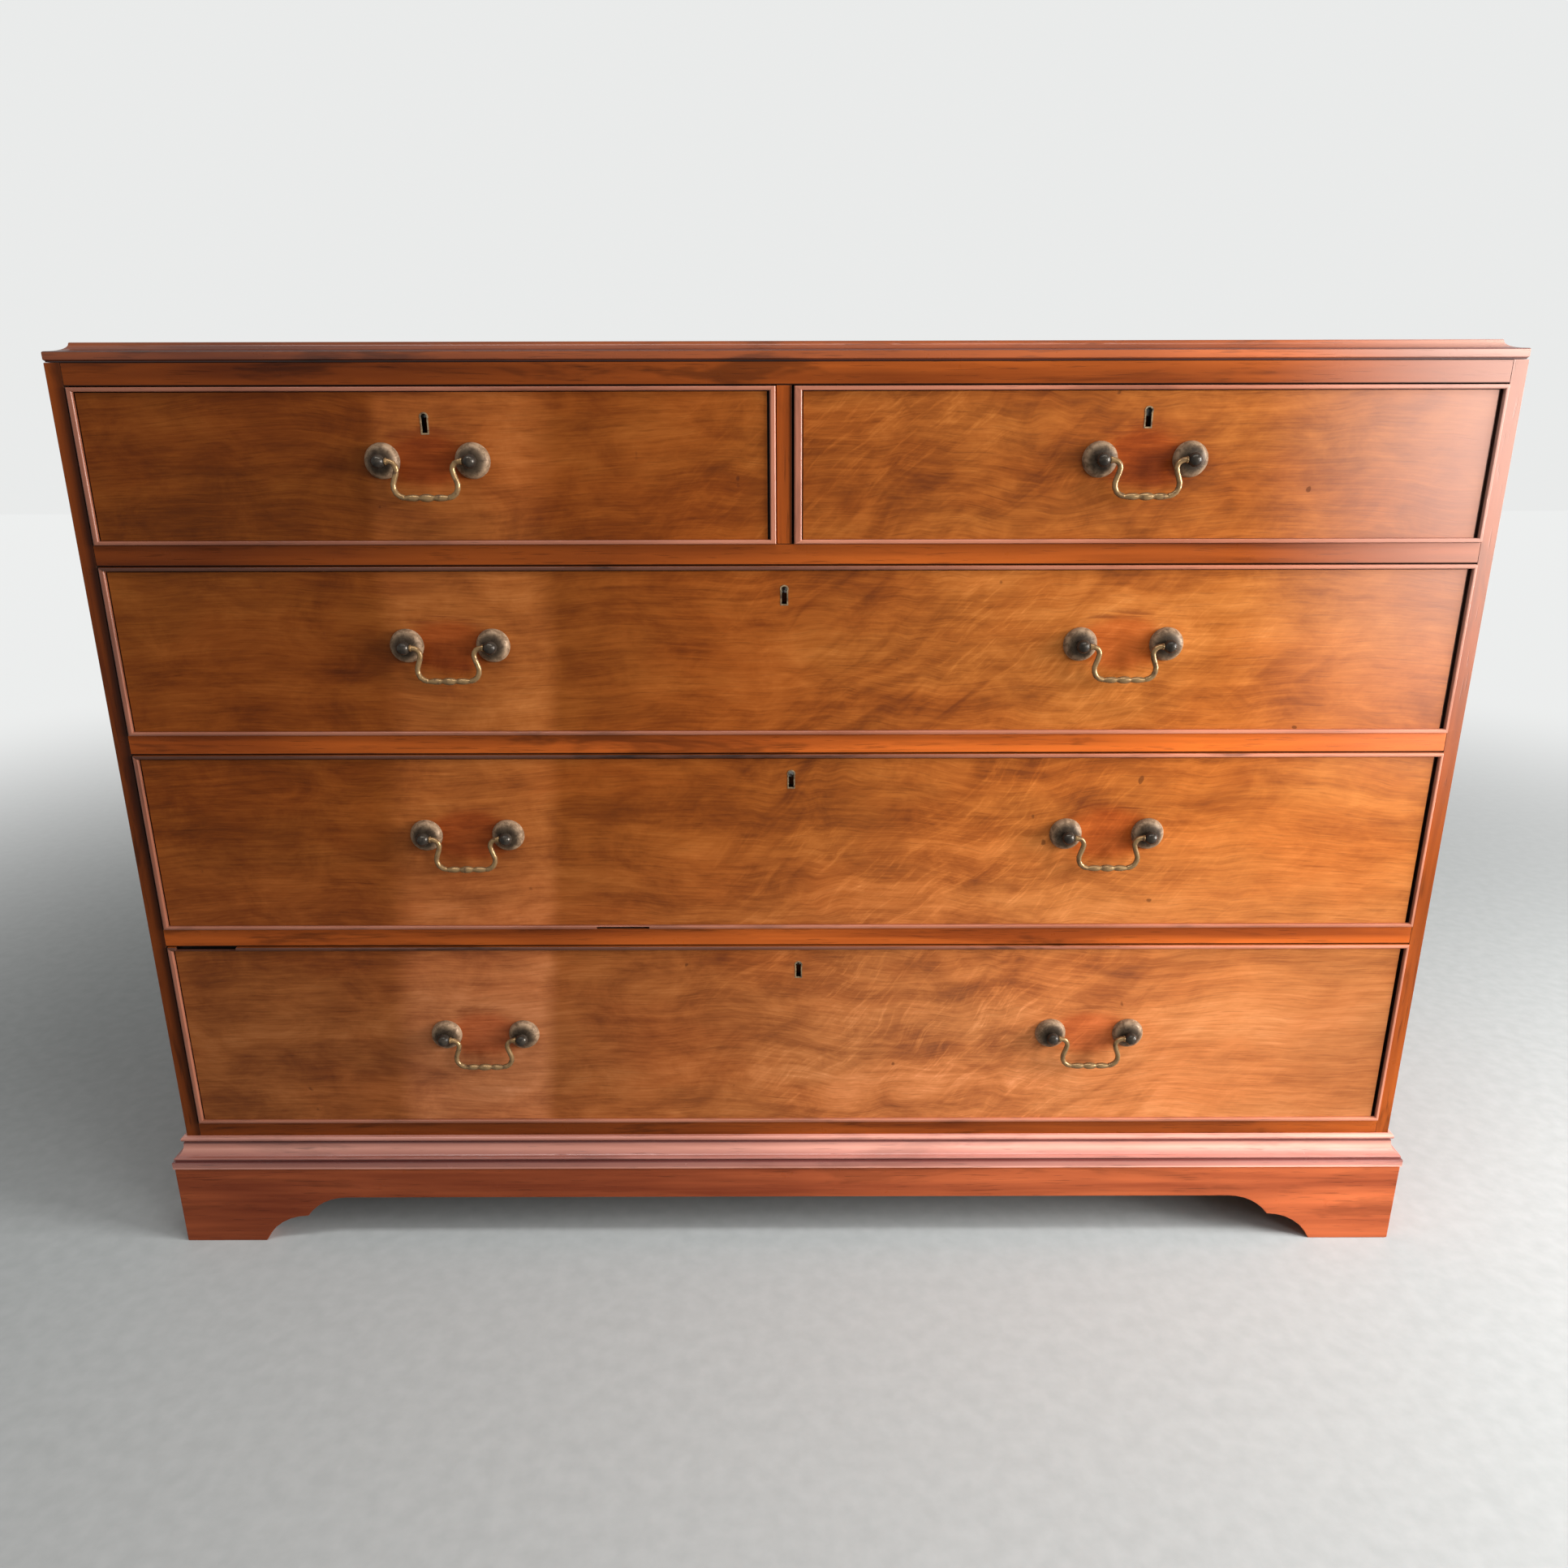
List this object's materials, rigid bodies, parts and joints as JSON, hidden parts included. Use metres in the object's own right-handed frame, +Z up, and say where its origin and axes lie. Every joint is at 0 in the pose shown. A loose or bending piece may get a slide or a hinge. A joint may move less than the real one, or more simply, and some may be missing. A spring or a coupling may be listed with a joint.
{
  "type": "chest of drawers",
  "caption": "Mahogany chest of short drawers over long graduated drawers, with swinging bail handles, locks and a bracket plinth.",
  "frame": {"origin": "middle of the overall box at floor level", "axes": "+X to the right along the front, +Y from the front to the back, +Z up"},
  "size_m": [1.2456, 0.5286, 0.873],
  "materials": {
    "mahogany_carcass": "polished",
    "mahogany_front": "polished",
    "oak_lining": "bare planed",
    "pine_back": "bare rough",
    "aged_brass": "patinated",
    "lock_steel": "dull"
  },
  "bodies": {
    "carcass": {"top_board": "mahogany_carcass", "left_side_panel": "mahogany_carcass", "right_side_panel": "mahogany_carcass", "top_rail": "mahogany_carcass", "short_drawer_rail": "mahogany_carcass", "upper_rail": "mahogany_carcass", "lower_rail": "mahogany_carcass", "bottom_rail": "mahogany_carcass", "short_drawer_divider": "mahogany_carcass", "centre_partition": "oak_lining", "upper_dust_board": "oak_lining", "middle_dust_board": "oak_lining", "lower_dust_board": "oak_lining", "bottom_board": "oak_lining", "back_board_lower": "pine_back", "back_board_upper": "pine_back", "base_moulding": "mahogany_carcass", "plinth_front": "mahogany_carcass", "plinth_left": "mahogany_carcass", "plinth_right": "mahogany_carcass", "rear_left_foot": "oak_lining", "rear_right_foot": "oak_lining"},
    "left_short_drawer": {"left_short_drawer_front": "mahogany_front", "left_short_drawer_left_side": "oak_lining", "left_short_drawer_right_side": "oak_lining", "left_short_drawer_back": "oak_lining", "left_short_drawer_bottom": "oak_lining"},
    "right_short_drawer": {"right_short_drawer_front": "mahogany_front", "right_short_drawer_left_side": "oak_lining", "right_short_drawer_right_side": "oak_lining", "right_short_drawer_back": "oak_lining", "right_short_drawer_bottom": "oak_lining"},
    "upper_long_drawer": {"upper_long_drawer_front": "mahogany_front", "upper_long_drawer_left_side": "oak_lining", "upper_long_drawer_right_side": "oak_lining", "upper_long_drawer_back": "oak_lining", "upper_long_drawer_bottom": "oak_lining"},
    "middle_long_drawer": {"middle_long_drawer_front": "mahogany_front", "middle_long_drawer_left_side": "oak_lining", "middle_long_drawer_right_side": "oak_lining", "middle_long_drawer_back": "oak_lining", "middle_long_drawer_bottom": "oak_lining"},
    "bottom_long_drawer": {"bottom_long_drawer_front": "mahogany_front", "bottom_long_drawer_left_side": "oak_lining", "bottom_long_drawer_right_side": "oak_lining", "bottom_long_drawer_back": "oak_lining", "bottom_long_drawer_bottom": "oak_lining"},
    "left_short_drawer_lock_bolt": {"left_short_drawer_lock_bolt": "lock_steel"},
    "right_short_drawer_lock_bolt": {"right_short_drawer_lock_bolt": "lock_steel"},
    "upper_long_drawer_lock_bolt": {"upper_long_drawer_lock_bolt": "lock_steel"},
    "middle_long_drawer_lock_bolt": {"middle_long_drawer_lock_bolt": "lock_steel"},
    "bottom_long_drawer_lock_bolt": {"bottom_long_drawer_lock_bolt": "lock_steel"},
    "left_short_drawer_bail": {"left_short_drawer_bail": "aged_brass"},
    "right_short_drawer_bail": {"right_short_drawer_bail": "aged_brass"},
    "upper_long_drawer_left_bail": {"upper_long_drawer_left_bail": "aged_brass"},
    "upper_long_drawer_right_bail": {"upper_long_drawer_right_bail": "aged_brass"},
    "middle_long_drawer_left_bail": {"middle_long_drawer_left_bail": "aged_brass"},
    "middle_long_drawer_right_bail": {"middle_long_drawer_right_bail": "aged_brass"},
    "bottom_long_drawer_left_bail": {"bottom_long_drawer_left_bail": "aged_brass"},
    "bottom_long_drawer_right_bail": {"bottom_long_drawer_right_bail": "aged_brass"}
  },
  "joints": [
    {"name": "left_short_drawer_slide", "type": "slide", "parent": "carcass", "child": "left_short_drawer", "axis": [0, -1, 0], "range_m": [0, 0.36]},
    {"name": "right_short_drawer_slide", "type": "slide", "parent": "carcass", "child": "right_short_drawer", "axis": [0, -1, 0], "range_m": [0, 0.36]},
    {"name": "upper_long_drawer_slide", "type": "slide", "parent": "carcass", "child": "upper_long_drawer", "axis": [0, -1, 0], "range_m": [0, 0.36]},
    {"name": "middle_long_drawer_slide", "type": "slide", "parent": "carcass", "child": "middle_long_drawer", "axis": [0, -1, 0], "range_m": [0, 0.36]},
    {"name": "bottom_long_drawer_slide", "type": "slide", "parent": "carcass", "child": "bottom_long_drawer", "axis": [0, -1, 0], "range_m": [0, 0.36]},
    {"name": "left_short_drawer_bolt_throw", "type": "slide", "parent": "left_short_drawer", "child": "left_short_drawer_lock_bolt", "axis": [0, 0, 1], "range_m": [0, 0.008]},
    {"name": "right_short_drawer_bolt_throw", "type": "slide", "parent": "right_short_drawer", "child": "right_short_drawer_lock_bolt", "axis": [0, 0, 1], "range_m": [0, 0.008]},
    {"name": "upper_long_drawer_bolt_throw", "type": "slide", "parent": "upper_long_drawer", "child": "upper_long_drawer_lock_bolt", "axis": [0, 0, 1], "range_m": [0, 0.008]},
    {"name": "middle_long_drawer_bolt_throw", "type": "slide", "parent": "middle_long_drawer", "child": "middle_long_drawer_lock_bolt", "axis": [0, 0, 1], "range_m": [0, 0.008]},
    {"name": "bottom_long_drawer_bolt_throw", "type": "slide", "parent": "bottom_long_drawer", "child": "bottom_long_drawer_lock_bolt", "axis": [0, 0, 1], "range_m": [0, 0.008]},
    {"name": "left_short_drawer_bail_swing", "type": "hinge", "parent": "left_short_drawer", "child": "left_short_drawer_bail", "pos_m": [-0.3018, -0.25825, 0.77844], "axis": [-1, 0, 0], "range_deg": [-15, 195]},
    {"name": "right_short_drawer_bail_swing", "type": "hinge", "parent": "right_short_drawer", "child": "right_short_drawer_bail", "pos_m": [0.3017, -0.25825, 0.77844], "axis": [-1, 0, 0], "range_deg": [-15, 195]},
    {"name": "upper_long_drawer_left_bail_swing", "type": "hinge", "parent": "upper_long_drawer", "child": "upper_long_drawer_left_bail", "pos_m": [-0.297, -0.25825, 0.62132], "axis": [-1, 0, 0], "range_deg": [-15, 195]},
    {"name": "upper_long_drawer_right_bail_swing", "type": "hinge", "parent": "upper_long_drawer", "child": "upper_long_drawer_right_bail", "pos_m": [0.297, -0.25825, 0.62132], "axis": [-1, 0, 0], "range_deg": [-15, 195]},
    {"name": "middle_long_drawer_left_bail_swing", "type": "hinge", "parent": "middle_long_drawer", "child": "middle_long_drawer_left_bail", "pos_m": [-0.297, -0.25825, 0.44317], "axis": [-1, 0, 0], "range_deg": [-15, 195]},
    {"name": "middle_long_drawer_right_bail_swing", "type": "hinge", "parent": "middle_long_drawer", "child": "middle_long_drawer_right_bail", "pos_m": [0.297, -0.25825, 0.44317], "axis": [-1, 0, 0], "range_deg": [-15, 195]},
    {"name": "bottom_long_drawer_left_bail_swing", "type": "hinge", "parent": "bottom_long_drawer", "child": "bottom_long_drawer_left_bail", "pos_m": [-0.297, -0.25825, 0.2344], "axis": [-1, 0, 0], "range_deg": [-15, 195]},
    {"name": "bottom_long_drawer_right_bail_swing", "type": "hinge", "parent": "bottom_long_drawer", "child": "bottom_long_drawer_right_bail", "pos_m": [0.297, -0.25825, 0.2344], "axis": [-1, 0, 0], "range_deg": [-15, 195]}
  ]
}
